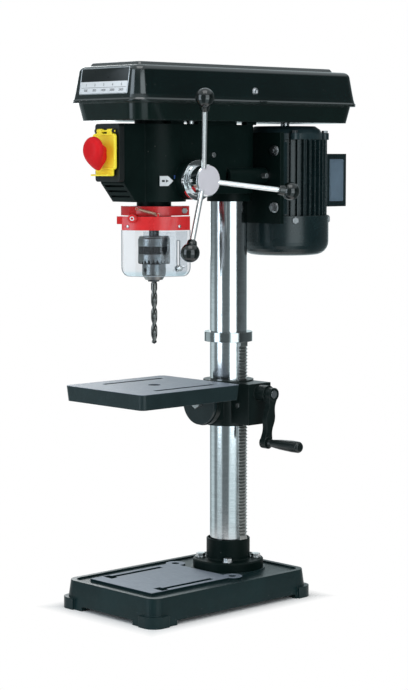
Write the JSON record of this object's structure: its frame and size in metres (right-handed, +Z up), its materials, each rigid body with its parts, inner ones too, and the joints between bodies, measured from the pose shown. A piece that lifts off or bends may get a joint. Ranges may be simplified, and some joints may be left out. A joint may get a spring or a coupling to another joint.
{
  "type": "benchtop drill press",
  "caption": "Bench drill press with a round column, rack-raised tilting table, belt-driven head, quill feed levers, clear chuck guard and a finned motor",
  "frame": {"origin": "midway between the two bench-bolt holes, at bench level", "axes": "+X is the operator's right, -Y the operator's side, +Z up"},
  "size_m": [0.2875, 0.5482, 0.8565],
  "materials": {
    "black_paint": "gloss black enamel with a faint green tint",
    "cover_paint": "gloss black enamel on pressed steel",
    "motor_paint": "satin black enamel",
    "bright_steel": "ground and polished",
    "plain_steel": "zinc plated",
    "chuck_steel": "turned and knurled",
    "dark_steel": "oiled dark steel",
    "bit_steel": "bronze-tinted tool steel",
    "cast_alloy": "turned cast alloy",
    "belt_rubber": "matt black rubber",
    "black_plastic": "gloss black",
    "red_paint": "gloss red enamel",
    "red_plastic": "gloss red",
    "green_plastic": "gloss green",
    "yellow_plastic": "gloss yellow",
    "clear_plastic": "clear, lightly scuffed"
  },
  "bodies": {
    "frame": {"base_casting": "black_paint", "column_flange": "black_paint", "flange_bolts": "plain_steel", "column_tube": "bright_steel", "rack_collar": "bright_steel", "frame_screws": "plain_steel", "head_casting": "black_paint", "belt_pan": "cover_paint", "pulley_bearings": "plain_steel", "switch_box": "black_plastic", "guard_collar": "red_paint", "guard_spring": "plain_steel", "spring_cap": "black_paint", "return_spring": "plain_steel", "front_belt": "belt_rubber", "rear_belt": "belt_rubber"},
    "lid": {"belt_lid": "cover_paint"},
    "flap": {"switch_flap": "yellow_plastic", "switch_paddle": "red_plastic"},
    "start": {"start_button": "green_plastic"},
    "stop": {"stop_button": "red_plastic"},
    "guard": {"guard_band": "red_paint", "guard_shield": "clear_plastic", "shield_screws": "plain_steel"},
    "extension": {"shield_extension": "clear_plastic"},
    "rack": {"rack_bar": "dark_steel"},
    "bracket": {"table_bracket": "black_paint", "bracket_pins": "plain_steel"},
    "gear": {"lift_gear": "dark_steel"},
    "crank": {"worm_shaft": "dark_steel", "crank_arm": "black_paint"},
    "grip": {"crank_grip": "black_plastic"},
    "lock": {"table_lock": "plain_steel"},
    "table": {"work_table": "black_paint"},
    "quill": {"quill": "bright_steel", "quill_bearings": "plain_steel"},
    "spindle": {"spindle": "plain_steel", "chuck_body": "chuck_steel", "drill_bit": "bit_steel"},
    "sleeve": {"chuck_sleeve": "chuck_steel"},
    "jaw_a": {"chuck_jaw_a": "chuck_steel"},
    "jaw_b": {"chuck_jaw_b": "chuck_steel"},
    "jaw_c": {"chuck_jaw_c": "chuck_steel"},
    "feed": {"feed_shaft": "bright_steel", "feed_hub": "bright_steel", "lever_rods": "bright_steel", "lever_knobs": "black_plastic"},
    "ring": {"depth_ring": "bright_steel"},
    "drive_pulley": {"spindle_pulley": "cast_alloy"},
    "idler_arm": {"idler_arm": "dark_steel"},
    "idler": {"idler_pulley": "cast_alloy"},
    "motor": {"motor_body": "motor_paint", "motor_bell": "motor_paint", "fan_cowl": "motor_paint", "capacitor_box": "motor_paint", "motor_plate": "black_paint", "motor_bolts": "plain_steel", "slide_rods": "bright_steel"},
    "rotor": {"motor_rotor": "dark_steel", "motor_pulley": "cast_alloy"}
  },
  "joints": [
    {"name": "lid_hinge", "type": "hinge", "parent": "frame", "child": "lid", "pos_m": [-0.088, 0, 0.8], "axis": [0, -1, 0], "range_deg": [0, 95]},
    {"name": "flap_hinge", "type": "hinge", "parent": "frame", "child": "flap", "pos_m": [0, -0.2045, 0.752], "axis": [-1, 0, 0], "range_deg": [0, 80]},
    {"name": "start_press", "type": "slide", "parent": "frame", "child": "start", "axis": [0, 1, 0], "range_m": [0, 0.002], "stiffness_N_per_m": 500, "springref_m": -0.004},
    {"name": "stop_press", "type": "slide", "parent": "frame", "child": "stop", "axis": [0, 1, 0], "range_m": [0, 0.002], "stiffness_N_per_m": 500, "springref_m": -0.004},
    {"name": "guard_swing", "type": "hinge", "parent": "frame", "child": "guard", "pos_m": [0.00699, -0.15675, 0.619], "axis": [-0.7254, 0.6884, 0], "range_deg": [0, 95], "stiffness_Nm_per_rad": 0.1, "springref_deg": -91.67, "deforming": ["guard_spring"]},
    {"name": "extension_slide", "type": "slide", "parent": "guard", "child": "extension", "axis": [0, 0, -1], "range_m": [0, 0.04]},
    {"name": "table_swing", "type": "hinge", "parent": "frame", "child": "rack", "pos_m": [0, 0.0557, 0.32], "axis": [0, 0, 1], "range_deg": [-180, 180]},
    {"name": "table_lift", "type": "slide", "parent": "rack", "child": "bracket", "axis": [0, 0, 1], "range_m": [-0.185, 0.06]},
    {"name": "gear_turn", "type": "hinge", "parent": "bracket", "child": "gear", "pos_m": [0.0464, 0.0557, 0.316], "axis": [0, 1, 0], "range_deg": [-289, 891]},
    {"name": "crank_turn", "type": "hinge", "parent": "bracket", "child": "crank", "pos_m": [0.1, 0.0557, 0.337], "axis": [1, 0, 0], "range_deg": [-12465, 4040]},
    {"name": "grip_spin", "type": "hinge", "parent": "crank", "child": "grip", "pos_m": [0.14, 0.04358, 0.26045], "axis": [1, 0, 0], "continuous": true},
    {"name": "lock_turn", "type": "hinge", "parent": "bracket", "child": "lock", "pos_m": [0, 0.1077, 0.3175], "axis": [1, 0, 0], "range_deg": [0, 100]},
    {"name": "table_tilt", "type": "hinge", "parent": "bracket", "child": "table", "pos_m": [0, -0.008, 0.321], "axis": [0, 1, 0], "range_deg": [-45, 45]},
    {"name": "quill_feed", "type": "slide", "parent": "frame", "child": "quill", "axis": [0, 0, -1], "range_m": [0, 0.06], "stiffness_N_per_m": 250, "springref_m": -0.16},
    {"name": "spindle_spin", "type": "hinge", "parent": "quill", "child": "spindle", "pos_m": [0, -0.106, 0.65], "axis": [0, 0, 1], "continuous": true},
    {"name": "chuck_turn", "type": "hinge", "parent": "spindle", "child": "sleeve", "pos_m": [0, -0.106, 0.565], "axis": [0, 0, 1], "range_deg": [0, 1440]},
    {"name": "jaw_a_slide", "type": "slide", "parent": "spindle", "child": "jaw_a", "axis": [0, 0.2079, 0.9781], "range_m": [0, 0.0061]},
    {"name": "jaw_b_slide", "type": "slide", "parent": "spindle", "child": "jaw_b", "axis": [-0.1801, -0.104, 0.9781], "range_m": [0, 0.0061]},
    {"name": "jaw_c_slide", "type": "slide", "parent": "spindle", "child": "jaw_c", "axis": [0.1801, -0.104, 0.9781], "range_m": [0, 0.0061]},
    {"name": "feed_turn", "type": "hinge", "parent": "frame", "child": "feed", "pos_m": [0.07, -0.078, 0.677], "axis": [1, 0, 0], "range_deg": [-1, 345], "deforming": ["return_spring"]},
    {"name": "depth_set", "type": "hinge", "parent": "feed", "child": "ring", "pos_m": [0.069, -0.078, 0.677], "axis": [1, 0, 0], "range_deg": [-150, 150]},
    {"name": "drive_spin", "type": "hinge", "parent": "frame", "child": "drive_pulley", "pos_m": [0, -0.106, 0.815], "axis": [0, 0, 1], "continuous": true},
    {"name": "idler_swing", "type": "hinge", "parent": "frame", "child": "idler_arm", "pos_m": [-0.034, 0.034, 0.76], "axis": [0, 0, 1], "range_deg": [-6, 6], "deforming": ["front_belt"]},
    {"name": "idler_spin", "type": "hinge", "parent": "idler_arm", "child": "idler", "pos_m": [0, 0.034, 0.815], "axis": [0, 0, 1], "continuous": true},
    {"name": "motor_slide", "type": "slide", "parent": "frame", "child": "motor", "axis": [0, 1, 0], "range_m": [-0.006, 0.015], "deforming": ["rear_belt"]},
    {"name": "motor_spin", "type": "hinge", "parent": "motor", "child": "rotor", "pos_m": [0, 0.185, 0.7], "axis": [0, 0, 1], "continuous": true}
  ],
  "couplings": [
    {"joint": "table_lift", "follows": "crank_turn", "m_per_rad": 0.00085},
    {"joint": "gear_turn", "follows": "crank_turn", "ratio": -0.071429},
    {"joint": "feed_turn", "follows": "quill_feed", "rad_per_m": 100},
    {"joint": "idler_spin", "follows": "motor_spin", "ratio": 0.79215},
    {"joint": "drive_spin", "follows": "motor_spin", "ratio": 0.6275},
    {"joint": "spindle_spin", "follows": "motor_spin", "ratio": 0.6275},
    {"joint": "jaw_a_slide", "follows": "chuck_turn", "m_per_rad": 0.00023873},
    {"joint": "jaw_b_slide", "follows": "chuck_turn", "m_per_rad": 0.00023873},
    {"joint": "jaw_c_slide", "follows": "chuck_turn", "m_per_rad": 0.00023873}
  ]
}
